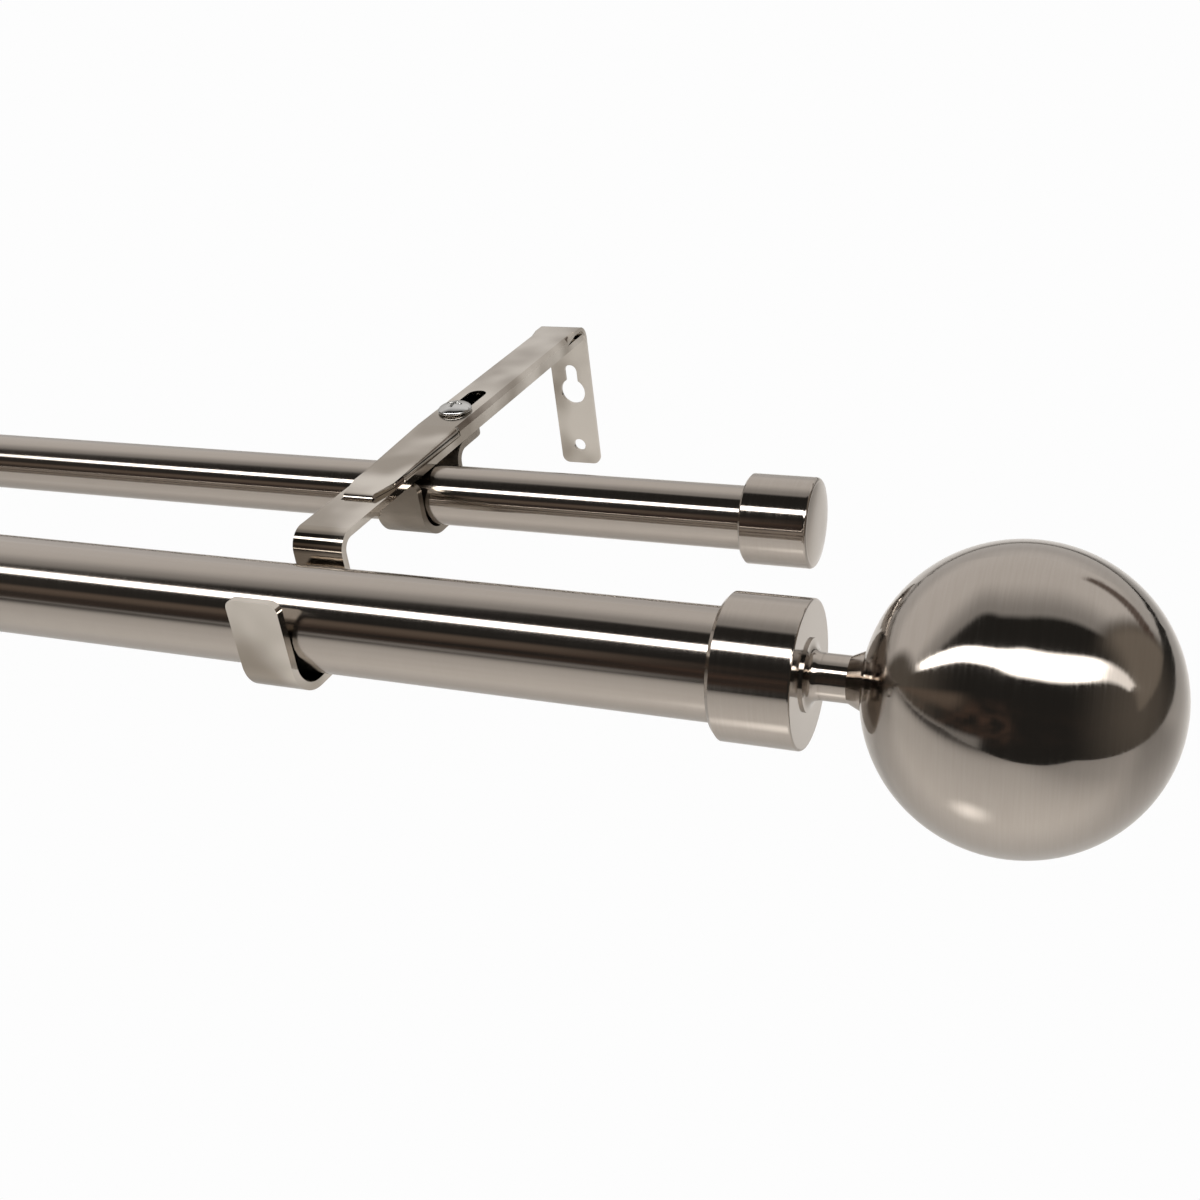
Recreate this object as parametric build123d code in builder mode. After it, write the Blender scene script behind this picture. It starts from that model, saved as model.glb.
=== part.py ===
"""Double curtain pole: two metal tubes carried by a pair of adjustable wall brackets.

Frame: X along the poles, Y from the wall (negative towards the room), Z up.
The wall is the plane Y = 0, and the brackets stand at equal distances either side of X = 0.
Z = 0 is the height of the lower wall screws. Millimetres.
"""
from build123d import *
import math
import os

os.makedirs("parts", exist_ok=True)

# Poles
front_diameter = 25.0
front_wall = 1.0
rear_diameter = 16.0
rear_wall = 0.8
bracket_spacing = 950.0
front_overhang = 125.0
rear_overhang = 111.3
front_projection = 165.0
rear_projection = 105.0
front_axis_height = 24.8

# Ball finial on each end of the front pole
ball_diameter = 63.0
ball_wall = 1.2
cap_diameter = 32.0
cap_length = 18.0
cap_face = 2.5
cap_edge = 0.5
mouth_chamfer = 1.0
cap_fit = 0.1
neck_diameter = 10.0
neck_length = 11.9
neck_foot_diameter = 15.8
neck_foot_rim = 0.5
neck_foot_curve = 2.4
neck_throat_diameter = 13.0
neck_throat_length = 3.2
stud_diameter = 5.0
stud_into_cap = 4.0
stud_into_ball = 7.0
stud_fit = 0.1
boss_diameter = 11.0
boss_length = 9.0

# Plain cap on each end of the rear pole
end_cap_diameter = 22.4
end_cap_length = 17.0
end_cap_face = 1.6
end_cap_dome = 0.9
end_cap_edge = 1.0

# Bracket strips
strip_width = 13.8
bar_thickness = 2.0
bar_above_axis = 13.0
bar_wall_gap = 2.6
arm_sheet = 1.2
arm_crown = 1.4
arm_side = 1.0
arm_bend = 3.6
arm_flat_run = 9.0
arm_blend_run = 6.0
arm_first_crown = 0.05
plate_below_hole = 6.6
plate_corner = 2.5

# Wall screw holes
hole_diameter = 4.2
keyhole_diameter = 8.6
keyhole_slot = 4.4
keyhole_above_hole = 19.2
keyhole_rise = 7.0

# Adjusting slot, clamp screw and what the screw goes through
screw_from_wall = 78.0
slot_width = 5.6
slot_behind_screw = 16.0
slot_ahead_of_screw = 3.5
screw_diameter = 5.0
screw_clearance = 0.3
thread_clearance = 0.1
screw_head_diameter = 9.6
screw_head_height = 3.2
screw_head_edge = 1.0
screw_end_below = 1.2
recess_width = 5.0
recess_blade = 1.1
recess_depth = 1.6

# Tongue of the arm, and the cross slot of the bar that holds its tip
sides_end_ahead = 11.0
tongue_level_run = 13.0
tongue_clearance = 0.1
cross_slot_from_axis = 33.6
cross_slot_clearance = 0.4
tip_width = 8.4
tip_taper_run = 8.0
tip_head_width = 11.0
tip_head_height = 1.8
tip_head_clearance = 0.2
tip_bend = 0.8

# Hooks
hook_bend = 7.0
bar_bend = 3.2
front_play = 0.3
rear_play = 2.3
rear_pole_ahead = 2.0
flange_round_ahead = 2.0
seat_clearance = 0.05
rear_top_clearance = 0.3
front_lip_above_axis = 12.0
rear_lip_gap = 1.2
lip_corner = 2.4

# Places worked out from the sizes above
half_spacing = bracket_spacing / 2
half_width = strip_width / 2
front_radius = front_diameter / 2
rear_radius = rear_diameter / 2
front_y = -front_projection
rear_y = -rear_projection
screw_y = -screw_from_wall
bar_bottom = front_axis_height + bar_above_axis
bar_top = bar_bottom + bar_thickness
arm_underside = bar_top + arm_crown
arm_top = arm_underside + arm_sheet
rear_axis_height = bar_bottom - rear_top_clearance - rear_radius
flange_bottom = bar_bottom - bar_thickness
sides_end_y = screw_y - sides_end_ahead
cross_slot_y = front_y + cross_slot_from_axis
front_face_x = half_spacing + front_overhang
rear_face_x = half_spacing + rear_overhang


def finish(piece, name):
    """Label a finished piece and write it to its own file."""
    piece.part.label = name
    export_step(piece.part, f"parts/{name}.step")


def tube(radius, wall, half_length, y, z):
    """A straight tube along X, centred on the model's middle."""
    with BuildPart() as made:
        with BuildSketch(Plane(origin=(-half_length, y, z), z_dir=(1, 0, 0))):
            Circle(radius)
            Circle(radius - wall, mode=Mode.SUBTRACT)
        extrude(amount=2 * half_length)
    return made


def turned(points_and_arcs, origin, toward):
    """Revolve an outline drawn as (along, radius) about the pole axis through origin."""
    with BuildPart() as made:
        with BuildSketch(Plane(origin=origin, x_dir=(toward, 0, 0), z_dir=(0, -toward, 0))):
            with BuildLine():
                points_and_arcs()
            make_face()
        revolve(axis=Axis(origin, (1, 0, 0)))
    return made


def cap_outline():
    """Cup that slips over the front pole: measured along the axis from its outer face."""
    outer = cap_diameter / 2
    bore = front_radius + cap_fit
    hole = stud_diameter / 2 + stud_fit
    Polyline((0, hole), (0, outer - cap_edge))
    RadiusArc((0, outer - cap_edge), (-cap_edge, outer), -cap_edge)
    Polyline(
        (-cap_edge, outer),
        (-cap_length + mouth_chamfer, outer),
        (-cap_length, outer - mouth_chamfer),
        (-cap_length, bore),
        (-cap_face, bore),
        (-cap_face, hole),
        (0, hole),
    )


def neck_outline():
    """Spool between cap and ball: a hollow-cornered foot, a plain shank and a cone at the ball."""
    shank = neck_diameter / 2
    foot = neck_foot_diameter / 2
    throat = neck_throat_diameter / 2
    hole = stud_diameter / 2 + stud_fit
    Polyline((0, hole), (0, foot), (neck_foot_rim, foot))
    Spline(
        (neck_foot_rim, foot),
        (neck_foot_rim + neck_foot_curve, shank),
        tangents=((0, -1), (1, 0)),
    )
    Polyline(
        (neck_foot_rim + neck_foot_curve, shank),
        (neck_length - neck_throat_length, shank),
        (neck_length, throat),
        (neck_length, hole),
        (0, hole),
    )


def ball_seat_offset():
    """Distance from the ball's centre to the flat that the neck bears on."""
    return math.sqrt((ball_diameter / 2) ** 2 - (neck_throat_diameter / 2) ** 2)


def ball_outline():
    """Hollow ball with a tapped boss inside its seat, measured from the seat."""
    outer = ball_diameter / 2
    inner = outer - ball_wall
    centre = ball_seat_offset()
    throat = neck_throat_diameter / 2
    hole = stud_diameter / 2 + stud_fit
    boss = boss_diameter / 2
    boss_start = centre - math.sqrt(inner**2 - boss**2)
    Polyline((0, hole), (0, throat))
    ThreePointArc((0, throat), (centre, outer), (centre + outer, 0))
    Line((centre + outer, 0), (centre + inner, 0))
    ThreePointArc((centre + inner, 0), (centre, inner), (boss_start, boss))
    Polyline((boss_start, boss), (boss_length, boss), (boss_length, hole), (0, hole))


def stud_outline():
    """Plain threaded rod that draws cap, neck and ball together, measured from the cap's face."""
    radius = stud_diameter / 2
    start = -cap_face - stud_into_cap
    end = neck_length + stud_into_ball
    Polyline((start, 0), (start, radius), (end, radius), (end, 0), (start, 0))


def end_cap_outline():
    """Domed cup on the rear pole, measured from the rim of its outer face."""
    outer = end_cap_diameter / 2
    bore = rear_radius + cap_fit
    crown = outer - end_cap_edge
    Polyline(
        (-end_cap_face, 0),
        (-end_cap_face, bore),
        (-end_cap_length, bore),
        (-end_cap_length, outer - cap_edge),
        (-end_cap_length + cap_edge, outer),
        (-end_cap_edge, outer),
    )
    RadiusArc((-end_cap_edge, outer), (0, crown), end_cap_edge)
    Spline((0, crown), (end_cap_dome, 0), tangents=((0.3, -1), (0, -1)))
    Line((end_cap_dome, 0), (-end_cap_face, 0))


def bent_strip(x, thickness, corners, radii):
    """Bend a flat strip: the corners lie on the face that is outermost at the first bend."""
    with BuildPart() as strip:
        with BuildSketch(Plane.YZ.offset(x)):
            with BuildLine():
                FilletPolyline(*corners, radius=radii)
                offset(amount=thickness, side=Side.LEFT, closed=True)
            make_face()
        extrude(amount=half_width, both=True)
    return strip


def crown_section(x, y, crown):
    """Section of the arm across its length: a level web between two sides that slope down."""
    outer = arm_top - crown
    with BuildSketch(Plane.XZ.offset(-y)) as section:
        with BuildLine():
            Polyline(
                (x - half_width, outer),
                (x - half_width + arm_side, arm_top),
                (x + half_width - arm_side, arm_top),
                (x + half_width, outer),
                (x + half_width, outer - arm_sheet),
                (x + half_width - arm_side, arm_underside),
                (x - half_width + arm_side, arm_underside),
                (x - half_width, outer - arm_sheet),
                close=True,
            )
        make_face()
    return section


def arm_tongue(x):
    """Tongue that runs down onto the bar, narrows and hooks through the cross slot."""
    lying = bar_top + tongue_clearance + arm_sheet
    tip_front = cross_slot_y - arm_sheet / 2
    head_top = bar_bottom - tip_head_clearance
    head_bottom = head_top - tip_head_height
    side_view = [
        (sides_end_y, arm_top),
        (cross_slot_y + tongue_level_run, lying),
        (tip_front, lying),
        (tip_front, head_bottom),
    ]
    half_tip = tip_width / 2
    half_web = half_width - arm_side
    strip = bent_strip(x, arm_sheet, side_view, [tongue_level_run, tip_bend + arm_sheet])
    with BuildPart() as tongue:
        add(strip.part)
        with BuildSketch(Plane.XY.offset(head_bottom)):
            with BuildLine():
                Polyline(
                    (x - half_web, sides_end_y),
                    (x - half_web, cross_slot_y + tip_taper_run),
                    (x - half_tip, cross_slot_y + arm_sheet),
                    (x - half_tip, tip_front),
                    (x + half_tip, tip_front),
                    (x + half_tip, cross_slot_y + arm_sheet),
                    (x + half_web, cross_slot_y + tip_taper_run),
                    (x + half_web, sides_end_y),
                    close=True,
                )
            make_face()
        extrude(amount=arm_top - head_bottom, mode=Mode.INTERSECT)
        with BuildSketch(Plane.XZ.offset(-tip_front)):
            with Locations((x, (head_top + head_bottom) / 2)):
                Rectangle(tip_head_width, tip_head_height)
        extrude(amount=-arm_sheet)
    return tongue


def wall_arm(x):
    """Wall plate, bend, crowned arm with its adjusting slot, and the tongue: one pressed sheet."""
    blend_end = -arm_flat_run - arm_blend_run
    slot_back = screw_y + slot_behind_screw
    slot_front = screw_y - slot_ahead_of_screw
    side_view = [(0, -plate_below_hole), (0, arm_top), (-arm_flat_run, arm_top)]
    strip = bent_strip(x, arm_sheet, side_view, arm_bend + arm_sheet)
    level = crown_section(x, -arm_flat_run, arm_first_crown)
    crowned = crown_section(x, blend_end, arm_crown)
    tongue = arm_tongue(x)
    with BuildPart() as arm:
        add(strip.part)
        fillet(arm.edges().filter_by(Axis.Y).group_by(Axis.Z)[0], plate_corner)
        with BuildSketch(Plane.XZ):
            with Locations((x, 0)):
                Circle(hole_diameter / 2)
            with Locations((x, keyhole_above_hole)):
                Circle(keyhole_diameter / 2)
            with Locations((x, keyhole_above_hole + keyhole_rise / 2)):
                SlotCenterToCenter(keyhole_rise, keyhole_slot, rotation=90)
        extrude(amount=2 * arm_sheet, both=True, mode=Mode.SUBTRACT)
        loft(sections=[level.sketch, crowned.sketch])
        extrude(crowned.sketch, amount=blend_end - sides_end_y)
        add(tongue.part)
        with BuildSketch(Plane.XY.offset(arm_top)):
            with Locations((x, (slot_back + slot_front) / 2)):
                SlotOverall(slot_back - slot_front, slot_width, rotation=90)
        extrude(amount=-2 * arm_sheet, mode=Mode.SUBTRACT)
    return arm


def lip_edges(strip, lip_top, lip_y):
    """The two short edges at the corners of a hook's lip."""
    reach = bar_thickness
    short = strip.edges().filter_by(Axis.Y).filter_by_position(Axis.Z, lip_top - 0.1, lip_top + 0.1)
    return short.filter_by_position(Axis.Y, lip_y - reach, lip_y + reach)


def front_hook(x):
    """Flat bar under the arm, bent down at its front and round under the front pole."""
    inner = front_radius + front_play
    bottom = front_axis_height - front_radius - seat_clearance
    lip_top = front_axis_height + front_lip_above_axis
    side_view = [
        (-bar_wall_gap, bar_top),
        (front_y + inner, bar_top),
        (front_y + inner, bottom),
        (front_y - inner, bottom),
        (front_y - inner, lip_top),
    ]
    strip = bent_strip(x, bar_thickness, side_view, [bar_bend + bar_thickness, hook_bend, hook_bend])
    with BuildPart() as bar:
        add(strip.part)
        fillet(lip_edges(bar, lip_top, front_y - inner - bar_thickness / 2), lip_corner)
        with BuildSketch(Plane.XY.offset(bar_top)):
            with Locations((x, screw_y)):
                Circle(screw_diameter / 2 + screw_clearance)
            with Locations((x, cross_slot_y)):
                Rectangle(tip_width + 2 * cross_slot_clearance, arm_sheet + 2 * cross_slot_clearance)
        extrude(amount=-bar_thickness, mode=Mode.SUBTRACT)
    return bar


def rear_hook(x):
    """Shorter hook for the rear pole, hung from the screw under the bar by a round-ended flange."""
    inner = rear_radius + rear_play
    middle = rear_y + rear_pole_ahead
    bottom = rear_axis_height - rear_radius - seat_clearance
    lip_top = bar_bottom - rear_lip_gap
    flange_round_y = screw_y - flange_round_ahead
    flange_end = flange_round_y + half_width
    side_view = [
        (flange_end, bar_bottom),
        (middle + inner, bar_bottom),
        (middle + inner, bottom),
        (middle - inner, bottom),
        (middle - inner, lip_top),
    ]
    strip = bent_strip(x, bar_thickness, side_view, [bar_bend + bar_thickness, hook_bend, hook_bend])
    with BuildPart() as hook:
        add(strip.part)
        fillet(lip_edges(hook, lip_top, middle - inner - bar_thickness / 2), lip_corner)
        with BuildSketch(Plane.XY.offset(bar_bottom)):
            with Locations((x, flange_round_y + half_width / 2)):
                Rectangle(strip_width, half_width)
            with Locations((x, flange_round_y)):
                Circle(half_width, mode=Mode.SUBTRACT)
        extrude(amount=-bar_thickness, mode=Mode.SUBTRACT)
        with BuildSketch(Plane.XY.offset(bar_bottom)):
            with Locations((x, screw_y)):
                Circle(screw_diameter / 2 + thread_clearance)
        extrude(amount=-bar_thickness, mode=Mode.SUBTRACT)
    return hook


def clamp_screw(x):
    """Pan-head screw with a cross recess, through the arm's slot, the bar and the rear hook."""
    shank = screw_diameter / 2
    head = screw_head_diameter / 2
    crown = arm_top + screw_head_height
    with BuildPart() as screw:
        with BuildSketch(Plane(origin=(x, screw_y, 0), x_dir=(1, 0, 0), z_dir=(0, -1, 0))):
            with BuildLine():
                Polyline(
                    (0, crown),
                    (0, flange_bottom - screw_end_below),
                    (shank, flange_bottom - screw_end_below),
                    (shank, arm_top),
                    (head, arm_top),
                    (head, arm_top + screw_head_edge),
                )
                Spline((head, arm_top + screw_head_edge), (0, crown), tangents=((0, 1), (-1, 0)))
            make_face()
        revolve(axis=Axis((x, screw_y, 0), (0, 0, 1)))
        with BuildSketch(Plane.XY.offset(crown)):
            with Locations((x, screw_y)):
                Rectangle(recess_width, recess_blade)
                Rectangle(recess_blade, recess_width)
        extrude(amount=-recess_depth, mode=Mode.SUBTRACT)
    return screw


finish(tube(front_radius, front_wall, front_face_x - cap_face, front_y, front_axis_height), "front_pole")
finish(tube(rear_radius, rear_wall, rear_face_x - end_cap_face, rear_y, rear_axis_height), "rear_pole")

for side, toward in (("left", -1), ("right", 1)):
    face = (toward * front_face_x, front_y, front_axis_height)
    seat = (toward * (front_face_x + neck_length), front_y, front_axis_height)
    rear_face = (toward * rear_face_x, rear_y, rear_axis_height)
    finish(turned(cap_outline, face, toward), f"finial_cap_{side}")
    finish(turned(neck_outline, face, toward), f"finial_neck_{side}")
    finish(turned(stud_outline, face, toward), f"finial_stud_{side}")
    finish(turned(ball_outline, seat, toward), f"finial_ball_{side}")
    finish(turned(end_cap_outline, rear_face, toward), f"rear_cap_{side}")
    finish(wall_arm(toward * half_spacing), f"wall_arm_{side}")
    finish(front_hook(toward * half_spacing), f"front_hook_{side}")
    finish(rear_hook(toward * half_spacing), f"rear_hook_{side}")
    finish(clamp_screw(toward * half_spacing), f"clamp_screw_{side}")
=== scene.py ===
import math

import bpy
from mathutils import Matrix, Vector


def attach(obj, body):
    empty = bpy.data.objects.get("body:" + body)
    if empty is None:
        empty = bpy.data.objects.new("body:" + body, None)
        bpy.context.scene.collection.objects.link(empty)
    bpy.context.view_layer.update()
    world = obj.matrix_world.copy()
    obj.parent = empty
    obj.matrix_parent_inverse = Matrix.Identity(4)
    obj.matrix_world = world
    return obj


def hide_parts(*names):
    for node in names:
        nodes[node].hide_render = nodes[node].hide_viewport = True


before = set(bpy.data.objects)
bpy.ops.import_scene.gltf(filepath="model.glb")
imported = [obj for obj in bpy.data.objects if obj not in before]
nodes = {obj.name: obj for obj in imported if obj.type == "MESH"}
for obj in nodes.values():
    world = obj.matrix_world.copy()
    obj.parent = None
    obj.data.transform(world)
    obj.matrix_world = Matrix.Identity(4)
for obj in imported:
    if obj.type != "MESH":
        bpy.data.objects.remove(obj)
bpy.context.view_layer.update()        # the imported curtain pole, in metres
brackets = {"left": -0.475, "right": 0.475}      # m, their middles along the poles


print("curtain pole: frame loaded,", len(nodes), "pieces")


def hexColour(code, level=1.0):
    parts = [int(code[i:i + 2], 16) / 255 for i in (1, 3, 5)]
    linear = [p / 12.92 if p <= 0.04045 else ((p + 0.055) / 1.055) ** 2.4 for p in parts]
    return (*[p * level for p in linear], 1.0)


def soften(value, low, high):
    share = min(max((value - low) / (high - low), 0.0), 1.0)
    return share * share * (3 - 2 * share)


def addNode(tree, kind, inputs=None, **settings):
    node = tree.nodes.new(kind)
    for name, value in settings.items():
        setattr(node, name, value)
    for name, value in (inputs or {}).items():
        if isinstance(value, bpy.types.Node):
            value = next(out for out in value.outputs if out.enabled)
        if isinstance(value, bpy.types.NodeSocket):
            tree.links.new(value, node.inputs[name])
        else:
            node.inputs[name].default_value = value
    return node


mathNode, rangeNode, mixNode = "ShaderNodeMath", "ShaderNodeMapRange", "ShaderNodeMix"
soft = {"interpolation_type": "SMOOTHSTEP"}
black = (0.0, 0.0, 0.0, 1.0)

scene = bpy.context.scene
scene.view_settings.view_transform = "Standard"

# camera, from the fitted view of the photograph
cameraView = {
    "place": (0.66596, -0.395245, 0.176332),
    "turn": 22.066,          # degrees to the left of straight at the wall
    "tilt": 30.392,          # degrees down
    "roll": -5.42,
    "focalPixels": 1361.93,
    "centre": (683.06, 637.38),
    "frame": 1200,
    "sensor": 36.0,
    "clip": (0.01, 50),
}


def placeCamera(view):
    turn, tilt, roll = (math.radians(view[k]) for k in ("turn", "tilt", "roll"))
    forward = Vector((-math.sin(turn) * math.cos(tilt), math.cos(turn) * math.cos(tilt), -math.sin(tilt)))
    level = Vector((math.cos(turn), math.sin(turn), 0))
    rise = level.cross(forward)
    right = math.cos(roll) * level + math.sin(roll) * rise
    up = -math.sin(roll) * level + math.cos(roll) * rise
    data = bpy.data.cameras.new("poleCamera")
    data.sensor_width = view["sensor"]
    data.lens = view["focalPixels"] / view["frame"] * view["sensor"]
    data.shift_x = (view["frame"] / 2 - view["centre"][0]) / view["frame"]
    data.shift_y = (view["centre"][1] - view["frame"] / 2) / view["frame"]
    data.clip_start, data.clip_end = view["clip"]
    camera = bpy.data.objects.new("poleCamera", data)
    basis = Matrix((right, up, -forward)).transposed().to_4x4()
    camera.matrix_world = Matrix.Translation(view["place"]) @ basis
    scene.collection.objects.link(camera)
    scene.camera = camera


placeCamera(cameraView)

# room the metal mirrors: light tent behind and overhead, dim room in front
# a ramp runs from 1 to 2, in degrees, and 3 and 4 are its values there where they aren't 0 and 1
studio = {
    "tent": "#F9F5F1",
    "tentLevel": 0.93,
    "tentEdge": 91.0,        # degrees up from the room
    "edgeClimb": 0.30,       # degrees per degree to the right
    "edgeFallFrom": 26.0,    # degrees to the left
    "edgeFall": 0.75,        # degrees per degree from there
    "edgeHump": {1: -22.0, 2: -12.0, 3: 4.0, 4: 0.0},
    "firstRise": {1: -3.0, 2: 4.0, 3: 0.0, 4: 0.46},         # from its edge
    "slowRise": {1: 4.0, 2: 34.0, 3: 0.0, 4: 0.54},
    "tentLeft": {1: -78.0, 2: -70.0},
    "tentRight": {1: 38.0, 2: 50.0, 3: 1.0, 4: 0.0},
    "tentBack": {1: 153.0, 2: 169.0, 3: 1.0, 4: 0.74},       # dimmer low at the back
    "dark": "#8E8B86",
    "darkLevel": 0.11,
    "warm": "#A58878",
    "warmLevel": 0.30,
    "warmSpots": 7.0,        # scale of the spots that break it up
    "spotEdges": {1: 0.35, 2: 0.75},
    "warmLow": {1: -4.0, 2: 8.0},
    "warmTop": {1: 18.0, 2: 34.0, 3: 1.0, 4: 0.0},
    "warmSide": {1: -4.0, 2: 8.0, 3: 1.0, 4: 0.1},
    "haze": {1: 35.0, 2: 88.0, 3: 0.0, 4: 0.5},              # to either side
    "farTop": {1: -1.0, 2: 5.0, 3: 0.35, 4: 0.0},
    "farFoot": {1: -40.0, 2: -30.0},
    "farSide": {1: -22.0, 2: -16.0, 3: 1.0, 4: 0.0},
    "flap": "#B4A99C",
    "flapLevel": 0.62,
    "flapSide": {1: 40.0, 2: 52.0},
    "flapUp": {1: 84.0, 2: 124.0},
    "cardTip": 134.0,        # degrees up, at the middle
    "cardFootLean": 0.5,     # degrees up per degree to the right
    "cardTopLean": 0.8,
    "cardFoot": {1: -2.0, 2: 3.0},
    "cardTop": {1: -1.0, 2: 4.0, 3: 0.9, 4: 0.0},
    "cardLeft": {1: 17.0, 2: 20.0},
    "cardRight": {1: 44.0, 2: 50.0, 3: 1.0, 4: 0.0},
    "backdrop": "#FDFDFD",   # what the camera itself sees
}


def buildWorld(look):
    world = bpy.data.worlds.new("lightTent")
    scene.world = world
    world.use_nodes = True
    tree = world.node_tree
    tree.nodes.clear()
    way = addNode(tree, "ShaderNodeTexCoord").outputs["Generated"]
    xyz = addNode(tree, "ShaderNodeSeparateXYZ", {0: way})
    toRoom = addNode(tree, mathNode, {0: xyz.outputs["Y"], 1: -1.0}, operation="MULTIPLY")
    rollTurn = addNode(tree, mathNode, {0: xyz.outputs["Z"], 1: toRoom}, operation="ARCTAN2")
    roll = addNode(tree, mathNode, {0: rollTurn}, operation="DEGREES")       # 0 to the room, 90 up, 180 to the wall
    sideTurn = addNode(tree, mathNode, {0: xyz.outputs["X"]}, operation="ARCSINE")
    side = addNode(tree, mathNode, {0: sideTurn}, operation="DEGREES")       # to the right

    # dim room in front, with a spotty warm patch a little above eye height and a haze at both ends
    dark, warm = hexColour(look["dark"], look["darkLevel"]), hexColour(look["warm"], look["warmLevel"])
    tent, flap = hexColour(look["tent"], look["tentLevel"]), hexColour(look["flap"], look["flapLevel"])
    grain = addNode(tree, "ShaderNodeTexNoise", {"Vector": way, "Scale": look["warmSpots"], "Detail": 2.0})
    spots = addNode(tree, rangeNode, {0: grain.outputs["Fac"], **look["spotEdges"]}, **soft)
    warmLow = addNode(tree, rangeNode, {0: roll, **look["warmLow"]}, **soft)
    warmTop = addNode(tree, rangeNode, {0: roll, **look["warmTop"]}, **soft)
    warmSide = addNode(tree, rangeNode, {0: side, **look["warmSide"]}, **soft)
    warmRows = addNode(tree, mathNode, {0: warmLow, 1: warmTop}, operation="MULTIPLY")
    warmBlock = addNode(tree, mathNode, {0: warmRows, 1: warmSide}, operation="MULTIPLY")
    warmPatch = addNode(tree, mathNode, {0: warmBlock, 1: spots}, operation="MULTIPLY")
    room = addNode(tree, mixNode, {0: warmPatch, 6: dark, 7: warm}, data_type="RGBA")
    ends = addNode(tree, mathNode, {0: side}, operation="ABSOLUTE")
    haze = addNode(tree, rangeNode, {0: ends, **look["haze"]}, **soft)
    hazy = addNode(tree, mixNode, {0: haze, 6: room, 7: flap}, data_type="RGBA")

    # far end of the floor at the left, a little over eye level
    farTop = addNode(tree, rangeNode, {0: roll, **look["farTop"]}, **soft)
    farFoot = addNode(tree, rangeNode, {0: roll, **look["farFoot"]}, **soft)
    farSide = addNode(tree, rangeNode, {0: side, **look["farSide"]}, **soft)
    farRows = addNode(tree, mathNode, {0: farTop, 1: farFoot}, operation="MULTIPLY")
    farMask = addNode(tree, mathNode, {0: farRows, 1: farSide}, operation="MULTIPLY")
    withFar = addNode(tree, mixNode, {0: farMask, 6: hazy, 7: tent}, data_type="RGBA")

    # tent: half bright at once past an edge that climbs to the right and falls far to the left, then slowly full
    toRight = addNode(tree, mathNode, {0: side, 1: 0.0}, operation="MAXIMUM")
    fromFall = addNode(tree, mathNode, {0: side, 1: look["edgeFallFrom"]}, operation="ADD")
    toLeft = addNode(tree, mathNode, {0: fromFall, 1: 0.0}, operation="MINIMUM")
    edgeRight = addNode(tree, mathNode, {0: toRight, 1: look["edgeClimb"], 2: look["tentEdge"]},
                        operation="MULTIPLY_ADD")
    edgeLeft = addNode(tree, mathNode, {0: toLeft, 1: look["edgeFall"], 2: edgeRight}, operation="MULTIPLY_ADD")
    edgeHump = addNode(tree, rangeNode, {0: side, **look["edgeHump"]}, **soft)
    edge = addNode(tree, mathNode, {0: edgeLeft, 1: edgeHump}, operation="ADD")
    past = addNode(tree, mathNode, {0: roll, 1: edge}, operation="SUBTRACT")
    firstRise = addNode(tree, rangeNode, {0: past, **look["firstRise"]}, **soft)
    slowRise = addNode(tree, rangeNode, {0: past, **look["slowRise"]}, **soft)
    rise = addNode(tree, mathNode, {0: firstRise, 1: slowRise}, operation="ADD")
    tentRight = addNode(tree, rangeNode, {0: side, **look["tentRight"]}, **soft)
    tentLeft = addNode(tree, rangeNode, {0: side, **look["tentLeft"]}, **soft)
    tentSides = addNode(tree, mathNode, {0: tentLeft, 1: tentRight}, operation="MULTIPLY")
    tentBack = addNode(tree, rangeNode, {0: roll, **look["tentBack"]}, **soft)
    tentRise = addNode(tree, mathNode, {0: rise, 1: tentBack}, operation="MULTIPLY")
    tentMask = addNode(tree, mathNode, {0: tentRise, 1: tentSides}, operation="MULTIPLY")
    withTent = addNode(tree, mixNode, {0: tentMask, 6: withFar, 7: tent}, data_type="RGBA")

    # grey flap at the right of the tent
    flapSide = addNode(tree, rangeNode, {0: side, **look["flapSide"]}, **soft)
    flapUp = addNode(tree, rangeNode, {0: roll, **look["flapUp"]}, **soft)
    flapMask = addNode(tree, mathNode, {0: flapSide, 1: flapUp}, operation="MULTIPLY")
    withFlap = addNode(tree, mixNode, {0: flapMask, 6: withTent, 7: flap}, data_type="RGBA")

    # wedge of brown card that leans at the back of the tent
    cardLeft = addNode(tree, rangeNode, {0: side, **look["cardLeft"]}, **soft)
    cardRight = addNode(tree, rangeNode, {0: side, **look["cardRight"]}, **soft)
    footAt = addNode(tree, mathNode, {0: side, 1: look["cardFootLean"], 2: look["cardTip"]}, operation="MULTIPLY_ADD")
    pastFoot = addNode(tree, mathNode, {0: roll, 1: footAt}, operation="SUBTRACT")
    cardFoot = addNode(tree, rangeNode, {0: pastFoot, **look["cardFoot"]}, **soft)
    topAt = addNode(tree, mathNode, {0: side, 1: look["cardTopLean"], 2: look["cardTip"]}, operation="MULTIPLY_ADD")
    pastTop = addNode(tree, mathNode, {0: roll, 1: topAt}, operation="SUBTRACT")
    cardTop = addNode(tree, rangeNode, {0: pastTop, **look["cardTop"]}, **soft)
    cardRows = addNode(tree, mathNode, {0: cardLeft, 1: cardFoot}, operation="MULTIPLY")
    cardPart = addNode(tree, mathNode, {0: cardRows, 1: cardTop}, operation="MULTIPLY")
    cardMask = addNode(tree, mathNode, {0: cardPart, 1: cardRight}, operation="MULTIPLY")
    withCard = addNode(tree, mixNode, {0: cardMask, 6: withFlap, 7: warm}, data_type="RGBA")

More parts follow.
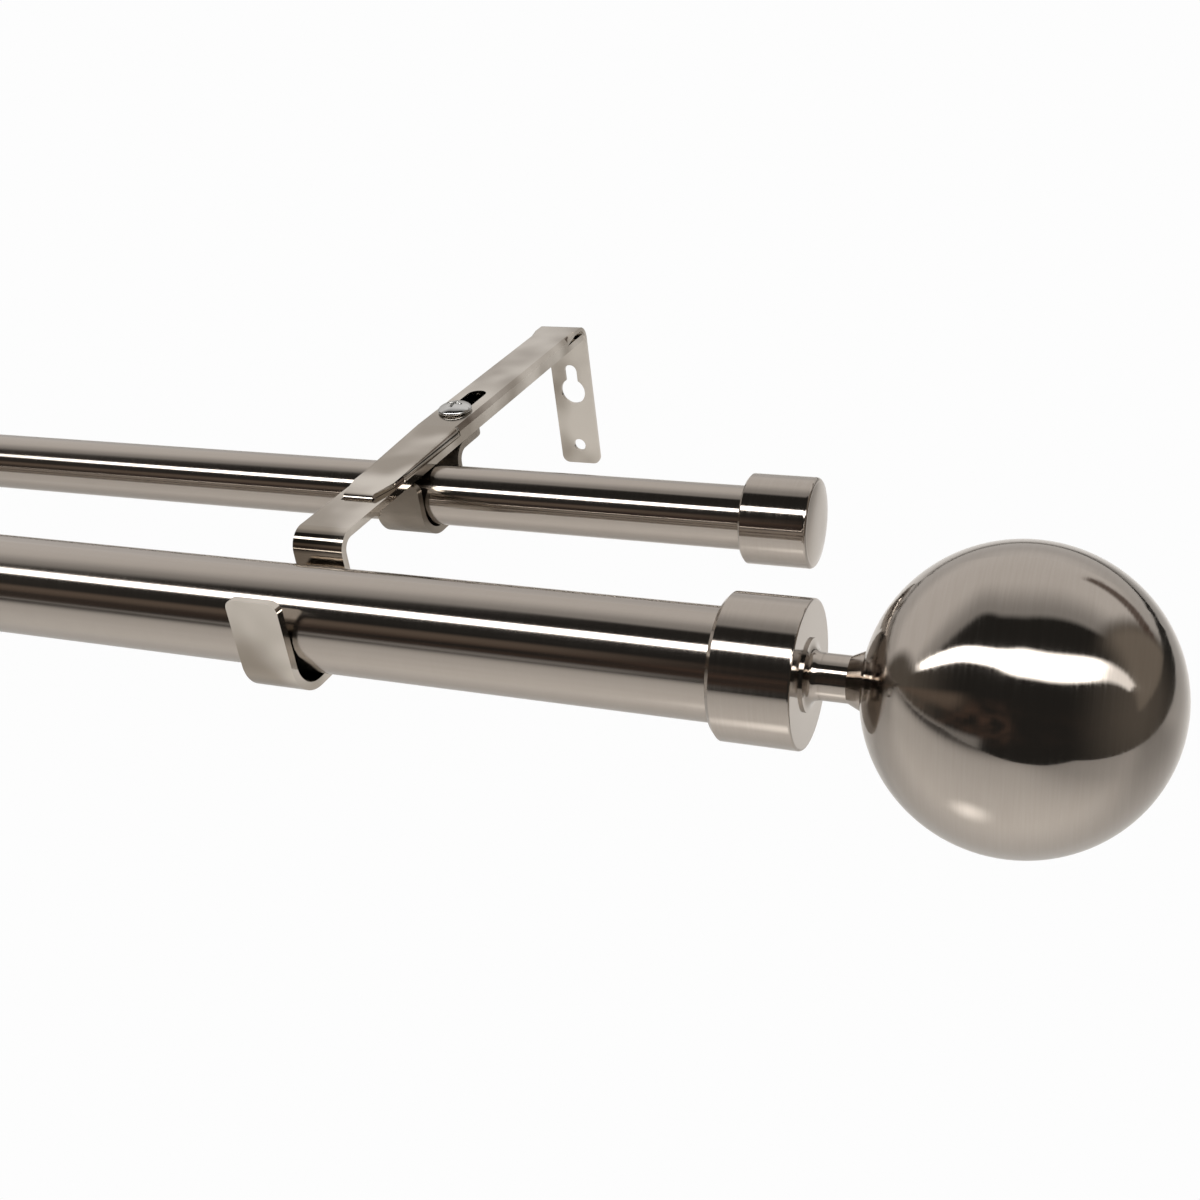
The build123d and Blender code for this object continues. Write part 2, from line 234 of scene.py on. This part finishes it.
    mirrored = addNode(tree, "ShaderNodeBackground", {"Color": withCard, "Strength": 1.0})
    plain = addNode(tree, "ShaderNodeBackground", {"Color": hexColour(look["backdrop"]), "Strength": 1.0})
    seen = addNode(tree, "ShaderNodeLightPath").outputs["Is Camera Ray"]
    both = addNode(tree, "ShaderNodeMixShader", {0: seen, 1: mirrored, 2: plain})
    addNode(tree, "ShaderNodeOutputWorld", {"Surface": both})


buildWorld(studio)

# long tube light above and in front, that bends back past the ball: the narrow bright band in the metal
lightTube = {
    "colour": "#FFFDFA",
    "level": 9.0,
    "over": (0.643, -0.165, 0.0248),     # m, the ball
    "reach": 0.26,           # m from the front pole
    "roll": 56.5,            # degrees up from the room
    "leftRise": 0.2,         # and how much more per degree to the left of the ball
    "riseFrom": 5.0,         # degrees to the left
    "riseRun": 30.0,
    "halfTurn": 7.6,         # half its width in degrees, seen from the pole
    "widens": (-16, 4),      # between these, in degrees from the ball
    "wider": 0.5,
    "widerPast": 0.012,      # and per degree round the bend
    "sides": (-72, 76),      # its ends
    "step": 2,
    "fadesIn": (-72, -58),
    "fadesOut": (40, 60),
    "fadeShare": 0.82,
    "bendFrom": 14.0,
    "bend": 0.0095,
    "core": {1: 0.2, 2: 0.5, 3: 1.0, 4: 0.0},        # fades across its width, from the middle
}


def hangTube(look):
    x0, y0, z0 = look["over"]
    corners, faces, spots = [], [], []
    sides = range(look["sides"][0], look["sides"][1] + 1, look["step"])
    for side in sides:
        past = max(side - look["bendFrom"], 0.0)
        leftRun = min(max(-side - look["riseFrom"], 0.0), look["riseRun"])
        middle = look["roll"] + look["leftRise"] * leftRun + look["bend"] * past * past
        half = look["halfTurn"] * (1.0 + look["wider"] * soften(side, *look["widens"]) + look["widerPast"] * past)
        glow = soften(side, *look["fadesIn"]) * (1.0 - look["fadeShare"] * soften(side, *look["fadesOut"]))
        for across in (0.0, 0.5, 1.0):
            turn = math.radians(middle + (2 * across - 1) * half)
            corners.append((x0 + look["reach"] * math.tan(math.radians(side)),
                            y0 - look["reach"] * math.cos(turn), z0 + look["reach"] * math.sin(turn)))
            spots.append((glow, across))
    for k in range(len(sides) - 1):
        for j in (0, 1):
            faces.append((3 * k + j, 3 * k + j + 1, 3 * k + j + 4, 3 * k + j + 3))
    mesh = bpy.data.meshes.new("lightTube")
    mesh.from_pydata(corners, [], faces)
    layer = mesh.uv_layers.new(name="glowAcross")
    for loop in mesh.loops:
        layer.data[loop.index].uv = spots[loop.vertex_index]
    tube = bpy.data.objects.new("lightTube", mesh)
    tube.visible_camera = False
    scene.collection.objects.link(tube)

    lit = bpy.data.materials.new("tubeGlow")
    lit.use_nodes = True
    tree = lit.node_tree
    tree.nodes.clear()
    spot = addNode(tree, "ShaderNodeSeparateXYZ", {0: addNode(tree, "ShaderNodeTexCoord").outputs["UV"]})
    off = addNode(tree, mathNode, {0: spot.outputs["Y"], 1: 0.5}, operation="SUBTRACT")
    away = addNode(tree, mathNode, {0: off}, operation="ABSOLUTE")
    core = addNode(tree, rangeNode, {0: away, **look["core"]}, **soft)
    mask = addNode(tree, mathNode, {0: core, 1: spot.outputs["X"]}, operation="MULTIPLY")
    glow = addNode(tree, "ShaderNodeEmission", {"Color": hexColour(look["colour"]), "Strength": look["level"]})
    clear = addNode(tree, "ShaderNodeBsdfTransparent")
    both = addNode(tree, "ShaderNodeMixShader", {0: mask, 1: clear, 2: glow})
    addNode(tree, "ShaderNodeOutputMaterial", {"Surface": both})
    mesh.materials.append(lit)


hangTube(lightTube)

# brown board beyond the brackets, that the tubes mirror as a warm band
brownBoard = {
    "colour": "#796C61",
    "level": 0.95,
    "away": -0.415,          # m, as the rest
    "ends": (-1.2, 0.52),
    "rows": (0.085, 0.205),
    "fadeLow": 0.06,
    "fadeHigh": 0.05,
    "fadeRight": 0.12,
}


def standBoard(look):
    (left, right), (low, high) = look["ends"], look["rows"]
    mesh = bpy.data.meshes.new("brownBoard")
    mesh.from_pydata([(left, look["away"], low), (right, look["away"], low),
                      (right, look["away"], high), (left, look["away"], high)], [], [(0, 3, 2, 1)])
    board = bpy.data.objects.new("brownBoard", mesh)
    board.visible_camera = False
    board.visible_diffuse = False
    board.visible_shadow = False
    scene.collection.objects.link(board)
    paint = bpy.data.materials.new("brownMatteBoard")
    paint.use_nodes = True
    tree = paint.node_tree
    tree.nodes.clear()
    place = addNode(tree, "ShaderNodeSeparateXYZ", {0: addNode(tree, "ShaderNodeTexCoord").outputs["Object"]})
    rowsLow = addNode(tree, rangeNode, {0: place.outputs["Z"], 1: low, 2: low + look["fadeLow"]}, **soft)
    rowsTop = addNode(tree, rangeNode, {0: place.outputs["Z"], 1: high - look["fadeHigh"], 2: high, 3: 1.0, 4: 0.0},
                      **soft)
    fade = addNode(tree, rangeNode, {0: place.outputs["X"], 1: right - look["fadeRight"], 2: right, 3: 1.0, 4: 0.0},
                   **soft)
    rows = addNode(tree, mathNode, {0: rowsLow, 1: rowsTop}, operation="MULTIPLY")
    mask = addNode(tree, mathNode, {0: rows, 1: fade}, operation="MULTIPLY")
    glow = addNode(tree, "ShaderNodeEmission", {"Color": hexColour(look["colour"]), "Strength": look["level"]})
    clear = addNode(tree, "ShaderNodeBsdfTransparent")
    both = addNode(tree, "ShaderNodeMixShader", {0: mask, 1: clear, 2: glow})
    addNode(tree, "ShaderNodeOutputMaterial", {"Surface": both})
    mesh.materials.append(paint)


standBoard(brownBoard)

# matte white card under the object, cut off past the ball, with painted shade towards the room and under the poles, a
# painted shadow past the ball and a painted pool of light; these show in the metal alone
paleFloor = {
    "paint": "#EFEDEA",
    "roughness": 0.95,
    "shine": 0.1,
    "level": -0.26,          # m, under the poles
    "outline": [(-14.0, -16.0), (-5.0, -7.0), (-0.5, -3.2), (0.64, -1.8), (1.15, -1.35), (1.6, -1.25), (1.6, 1.0),
                (9.0, 30.0), (-14.0, 30.0)],
    "roomShade": {1: -0.85, 2: -3.20, 3: 1.0, 4: 0.30},        # ramps in m, painted shade, darker towards the room
    "backMiddle": 0.02,      # m ahead of the wall, where the painted shade under the poles is deepest
    "underShade": {1: 0.08, 2: 0.31, 3: 0.68, 4: 1.0},
    "rightShadow": {1: 0.70, 2: 1.20, 3: 1.0, 4: 0.66},         # and a painted shadow past the ball
    "glowAt": (0.533, -0.35),            # painted pool of light low in front of the ball, a glow that shows in the metal alone
    "glowPool": {1: 0.085, 2: 0.0, 3: 0.0, 4: 1.1},
}
overheadLamp = {
    "power": 135.0,          # W
    "size": 6.0,             # m
    "place": (0.2, 0.8, 3.0),
}


def layFloor(look, backdrop):
    mesh = bpy.data.meshes.new("paleFloor")
    corners = [(x, y, look["level"]) for x, y in look["outline"]]
    mesh.from_pydata(corners, [], [tuple(range(len(corners)))])
    floor = bpy.data.objects.new("paleFloor", mesh)
    scene.collection.objects.link(floor)
    paint = bpy.data.materials.new("matteWhiteCard")
    paint.use_nodes = True
    tree = paint.node_tree
    shader = tree.nodes["Principled BSDF"]
    white = hexColour(look["paint"])
    place = addNode(tree, "ShaderNodeTexCoord").outputs["Object"]
    xyz = addNode(tree, "ShaderNodeSeparateXYZ", {0: place})
    # painted shade in the card's colour: darker towards the room, under the poles and past the ball
    roomShade = addNode(tree, rangeNode, {0: xyz.outputs["Y"], **look["roomShade"]}, **soft)
    fromMiddle = addNode(tree, mathNode, {0: xyz.outputs["Y"], 1: look["backMiddle"]}, operation="ADD")
    farOff = addNode(tree, mathNode, {0: fromMiddle}, operation="ABSOLUTE")
    underShade = addNode(tree, rangeNode, {0: farOff, **look["underShade"]}, **soft)
    rightShadow = addNode(tree, rangeNode, {0: xyz.outputs["X"], **look["rightShadow"]}, **soft)
    bothShade = addNode(tree, mathNode, {0: roomShade, 1: rightShadow}, operation="MULTIPLY")
    shade = addNode(tree, mathNode, {0: bothShade, 1: underShade}, operation="MULTIPLY")
    tone = addNode(tree, mixNode, {0: shade, 6: black, 7: white}, data_type="RGBA")
    tree.links.new(tone.outputs[2], shader.inputs["Base Color"])
    shader.inputs["Roughness"].default_value = look["roughness"]
    shader.inputs["Specular IOR Level"].default_value = look["shine"]
    plain = addNode(tree, "ShaderNodeEmission", {"Color": hexColour(backdrop), "Strength": 1.0})
    seen = addNode(tree, "ShaderNodeLightPath").outputs["Is Camera Ray"]
    both = addNode(tree, "ShaderNodeMixShader", {0: seen, 1: shader, 2: plain})
    # painted pool of light: the card glows round this spot for all but camera rays
    away = addNode(tree, "ShaderNodeVectorMath", {0: place, 1: (*look["glowAt"], look["level"])}, operation="DISTANCE")
    pool = addNode(tree, rangeNode, {0: away.outputs["Value"], **look["glowPool"]}, **soft)
    notSeen = addNode(tree, mathNode, {0: 1.0, 1: seen}, operation="SUBTRACT")
    poolOnly = addNode(tree, mathNode, {0: pool, 1: notSeen}, operation="MULTIPLY")
    glow = addNode(tree, "ShaderNodeEmission", {"Color": white, "Strength": poolOnly})
    lit = addNode(tree, "ShaderNodeAddShader", {0: both, 1: glow})
    tree.links.new(lit.outputs[0], tree.nodes["Material Output"].inputs["Surface"])
    mesh.materials.append(paint)


def hangLamp(look):
    data = bpy.data.lights.new("overheadSoft", "AREA")
    data.shape = "SQUARE"
    data.size = look["size"]
    data.energy = look["power"]
    lamp = bpy.data.objects.new("overheadSoft", data)
    lamp.location = look["place"]
    lamp.visible_glossy = False
    lamp.visible_camera = False
    scene.collection.objects.link(lamp)


layFloor(paleFloor, studio["backdrop"])
hangLamp(overheadLamp)
print("curtain pole: camera, tent and floor set")

# brushed satin nickel: a warm grey mirror, drawn out along the pole by fine rings of brushing round it
satinNickel = {
    "colour": "#A8A098",
    "paler": "#B3ACA5",
    "ringSpacing": 0.5,      # mm, real brushing is nearer 0.1: coarser so that it shows
    "ringRun": 14.0,         # mm round the turned part
    "drawSpacing": 1.1,      # mm between faint lines along a drawn tube, coarser than real
    "drawRun": 90.0,
    "bump": 0.02,            # mm
    "contrast": (0.3, 0.7),
    "roughSpread": 0.03,
    "acrossTurn": 0.25,      # of a turn, so that the brushing runs round the axis
}
# drawn tubes have lines along them and hardly a ring, cups and spools have rings, and the ball is nearly a mirror
turnedFinishes = {
    "tubeNickel": {"roughness": 0.13, "streaking": 0.90, "rings": 0.03, "lines": 0.6},
    "capNickel": {"roughness": 0.11, "streaking": 0.85, "rings": 0.30, "lines": 0.0},
    "ballNickel": {"roughness": 0.085, "streaking": 0.85, "rings": 0.45, "lines": 0.0},
}


def turnedNickel(name, look, finish):
    material = bpy.data.materials.new(name)
    material.use_nodes = True
    tree = material.node_tree
    shader = tree.nodes["Principled BSDF"]
    (low, high), spread = look["contrast"], look["roughSpread"]
    place = addNode(tree, "ShaderNodeTexCoord").outputs["Object"]
    ringScale = (1000 / look["ringSpacing"], 1000 / look["ringRun"], 1000 / look["ringRun"])
    ringPlace = addNode(tree, "ShaderNodeMapping", {"Vector": place, "Scale": ringScale})
    rings = addNode(tree, "ShaderNodeTexNoise", {"Vector": ringPlace, "Scale": 1.0, "Detail": 3.0, "Roughness": 0.6})
    lineScale = (1000 / look["drawRun"], 1000 / look["drawSpacing"], 1000 / look["drawSpacing"])
    linePlace = addNode(tree, "ShaderNodeMapping", {"Vector": place, "Scale": lineScale})
    lines = addNode(tree, "ShaderNodeTexNoise", {"Vector": linePlace, "Scale": 1.0, "Detail": 2.0})
    streaks = addNode(tree, mixNode, {0: finish["lines"], 2: rings.outputs[0], 3: lines.outputs[0]})
    tone = addNode(tree, mixNode, {0: streaks, 6: hexColour(look["colour"]), 7: hexColour(look["paler"])},
                   data_type="RGBA")
    rough = addNode(tree, rangeNode,
                    {0: streaks, 1: low, 2: high, 3: finish["roughness"] - spread, 4: finish["roughness"] + spread})
    bump = addNode(tree, "ShaderNodeBump",
                   {"Strength": finish["rings"], "Distance": look["bump"] / 1000, "Height": rings.outputs[0]})
    tangent = addNode(tree, "ShaderNodeTangent", direction_type="RADIAL", axis="X")
    tree.links.new(tone.outputs[2], shader.inputs["Base Color"])
    tree.links.new(rough.outputs[0], shader.inputs["Roughness"])
    tree.links.new(bump.outputs[0], shader.inputs["Normal"])
    tree.links.new(tangent.outputs[0], shader.inputs["Tangent"])
    shader.inputs["Metallic"].default_value = 1.0
    shader.inputs["Anisotropic"].default_value = finish["streaking"]
    shader.inputs["Anisotropic Rotation"].default_value = look["acrossTurn"]
    return material


finishes = {name: turnedNickel(name, satinNickel, finish) for name, finish in turnedFinishes.items()}

plateLooks = {
    # nickel plate on pressed and bent strip: glossy, with cloudy patches and soft waves from rolling
    "bracketNickel": {
        "colour": "#958D83",
        "paler": "#CDC7BF",
        "roughness": 0.085,
        "cloudSize": 26.0,   # mm
        "waveSize": 9.0,     # mm
        "waveHeight": 0.02,  # mm
    },
    # rear hook, less polished than the rest: a darker, softer grey
    "dullNickel": {
        "colour": "#7E766C",
        "paler": "#938B81",
        "roughness": 0.38,
        "cloudSize": 18.0,
        "waveSize": 7.0,
        "waveHeight": 0.02,
    },
    # bright zinc plate on a pressed screw head: a cooler, sharper mirror
    "brightZinc": {
        "colour": "#A9A9A7",
        "paler": "#C9CACA",
        "roughness": 0.11,
        "cloudSize": 12.0,
        "waveSize": 3.0,
        "waveHeight": 0.002,
    },
}
plateSpread = {
    "clouds": {1: 0.36, 2: 0.64},        # how sharply the patches part
    "waves": {1: 0.3, 2: 0.7},
    "smoother": 0.04,        # roughness, less in some places
    "rougher": 0.05,         # and more in others
}


def platedStrip(name, look, spread):
    material = bpy.data.materials.new(name)
    material.use_nodes = True
    tree = material.node_tree
    shader = tree.nodes["Principled BSDF"]
    place = addNode(tree, "ShaderNodeTexCoord").outputs["Object"]
    clouds = addNode(tree, "ShaderNodeTexNoise", {"Vector": place, "Scale": 1000 / look["cloudSize"], "Detail": 2.0})
    patches = addNode(tree, rangeNode, {0: clouds.outputs[0], **spread["clouds"]}, **soft)
    tone = addNode(tree, mixNode, {0: patches, 6: hexColour(look["colour"]), 7: hexColour(look["paler"])},
                   data_type="RGBA")
    waves = addNode(tree, "ShaderNodeTexNoise", {"Vector": place, "Scale": 1000 / look["waveSize"], "Detail": 1.5})
    smoothest, roughest = look["roughness"] - spread["smoother"], look["roughness"] + spread["rougher"]
    rough = addNode(tree, rangeNode, {0: waves.outputs[0], **spread["waves"], 3: smoothest, 4: roughest})
    bump = addNode(tree, "ShaderNodeBump",
                   {"Strength": 1.0, "Distance": look["waveHeight"] / 1000, "Height": waves.outputs[0]})
    tree.links.new(tone.outputs[2], shader.inputs["Base Color"])
    tree.links.new(rough.outputs[0], shader.inputs["Roughness"])
    tree.links.new(bump.outputs[0], shader.inputs["Normal"])
    shader.inputs["Metallic"].default_value = 1.0
    return material


finishes.update({name: platedStrip(name, look, plateSpread) for name, look in plateLooks.items()})
print("curtain pole:", len(finishes), "finishes mixed")

finishOf = {
    "front_pole": "tubeNickel",
    "rear_pole": "tubeNickel",
    "finial_cap": "capNickel",
    "finial_neck": "capNickel",
    "finial_stud": "brightZinc",
    "finial_ball": "ballNickel",
    "rear_cap": "capNickel",
    "wall_arm": "bracketNickel",
    "front_hook": "bracketNickel",
    "rear_hook": "dullNickel",
    "clamp_screw": "brightZinc",
}

# clamp screw with the low dome and worked cross recess of the real one
panScrew = {
    "y": -0.078,             # m, as the rest
    "headBase": 0.0424,
    "headRadius": 0.0048,
    "headHeight": 0.0024,
    "headEdge": 0.0005,
    "shankRadius": 0.0025,
    "end": 0.0346,
    "endChamfer": 0.0003,
    "armLength": 0.0022,     # of the cross recess
    "armHalfWidth": 0.00042,
    "recessDepth": 0.0012,
    "recessWall": (0.75, 1.15),          # where it starts and ends, in half widths
    "domeSteps": 60,
    "edgeSteps": 6,
    "turns": 96,
}


def turnScrew(name, x, look):
    base, rim, edge, shank = look["headBase"], look["headRadius"], look["headEdge"], look["shankRadius"]
    dome = [math.radians(90 * k / look["domeSteps"]) for k in range(1, look["domeSteps"] + 1)]
    round90 = [math.radians(90 * k / look["edgeSteps"]) for k in range(1, look["edgeSteps"] + 1)]
    rings = [(rim * math.sin(a), base + edge + (look["headHeight"] - edge) * math.cos(a)) for a in dome]
    rings += [(rim - edge * (1 - math.cos(a)), base + edge * (1 - math.sin(a))) for a in round90]
    rings += [(shank, base), (shank, look["end"] + look["endChamfer"]), (shank - look["endChamfer"], look["end"])]
    turns, depth = look["turns"], look["recessDepth"]
    long, half = look["armLength"], look["armHalfWidth"]
    corners = [(x, look["y"], base + look["headHeight"] - depth)]
    for radius, z in rings:
        for j in range(turns):
            a = math.radians(360 * j / turns)
            across, along = radius * math.cos(a), radius * math.sin(a)
            p, q = abs(across), abs(along)
            out = min(max(p / half, q / long), max(q / half, p / long))
            cut = depth * (1 - soften(out, *look["recessWall"])) if z > base + edge else 0.0
            corners.append((x + across, look["y"] + along, z - cut))
    corners.append((x, look["y"], look["end"]))
    faces = [(0, 1 + j, 1 + (j + 1) % turns) for j in range(turns)]
    for k in range(len(rings) - 1):
        first, second = 1 + k * turns, 1 + (k + 1) * turns
        for j in range(turns):
            n = (j + 1) % turns
            faces.append((first + j, second + j, second + n, first + n))
    last = 1 + (len(rings) - 1) * turns
    faces += [(last + j, len(corners) - 1, last + (j + 1) % turns) for j in range(turns)]
    mesh = bpy.data.meshes.new(name)
    mesh.from_pydata(corners, [], faces)
    mesh.shade_smooth()
    mesh.materials.append(finishes["brightZinc"])
    screw = bpy.data.objects.new(name, mesh)
    scene.collection.objects.link(screw)
    return screw


for hand, x in brackets.items():
    screw = turnScrew(f"pan_screw_{hand}", x, panScrew)
    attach(screw, "root")
    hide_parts(f"clamp_screw_{hand}")

# tongue's long edges, rolled down towards the bar; the pairs are at the screw's end and at the tip's end
rolledEdge = {
    "ends": (-0.0886, -0.1186),          # m, as the rest
    "halfWidth": 0.0056,     # where the roll starts
    "tops": (0.04242, 0.04112),
    "foot": 0.03984,
    "swell": (0.0013, 0.0004),
    "sheet": 0.00035,
    "rows": 24,
    "arcSteps": 10,
}


def rollEdge(name, x, way, look):
    rows, arc = look["rows"], look["arcSteps"]
    count = 2 * (arc + 1)
    corners, faces = [], []
    for i in range(rows + 1):
        t = i / rows
        y, top, swell = (a + (b - a) * t for a, b in (look["ends"], look["tops"], look["swell"]))
        for sheet, steps in ((0.0, range(arc + 1)), (look["sheet"], range(arc, -1, -1))):
            for k in steps:
                a = math.radians(90 * k / arc)
                corners.append((x + way * (look["halfWidth"] + (swell - sheet) * math.sin(a)), y,
                                look["foot"] + (top - look["foot"] - sheet) * math.cos(a)))
    for i in range(rows):
        for k in range(count):
            n = (k + 1) % count
            face = (i * count + k, (i + 1) * count + k, (i + 1) * count + n, i * count + n)
            faces.append(face if way > 0 else face[::-1])
    ends = (tuple(range(count)), tuple(rows * count + k for k in reversed(range(count))))
    faces += ends if way > 0 else [end[::-1] for end in ends]
    mesh = bpy.data.meshes.new(name)
    mesh.from_pydata(corners, [], faces)
    for face in mesh.polygons:
        face.use_smooth = len(face.vertices) == 4        # all but the flat ends
    mesh.materials.append(finishes["bracketNickel"])
    edge = bpy.data.objects.new(name, mesh)
    scene.collection.objects.link(edge)
    return edge


for hand, x in brackets.items():
    outwards = 1 if x > 0 else -1
    for place, way in (("inner", -outwards), ("outer", outwards)):
        edge = rollEdge(f"tongue_edge_{place}_{hand}", x, way, rolledEdge)
        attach(edge, "root")
print("curtain pole: screws and tongue edges made")

# edges of the strips, rounded by tumbling
softEdges = {
    "wall_arm": 0.3,         # mm
    "front_hook": 0.35,
    "rear_hook": 0.3,
}
edgeSegments = 3
sharpAngle = 40              # degrees between faces, from which an edge is rounded

for name, piece in nodes.items():
    kind = name.removesuffix("_left").removesuffix("_right")
    piece.data.materials.clear()
    piece.data.materials.append(finishes[finishOf[kind]])
    if kind in softEdges:
        edge = piece.modifiers.new("softEdge", "BEVEL")
        edge.width = softEdges[kind] / 1000
        edge.segments = edgeSegments
        edge.limit_method = "ANGLE"
        edge.angle_limit = math.radians(sharpAngle)
        edge.harden_normals = True
print("curtain pole: finishes given to", len(nodes), "pieces")

print("curtain pole: done")
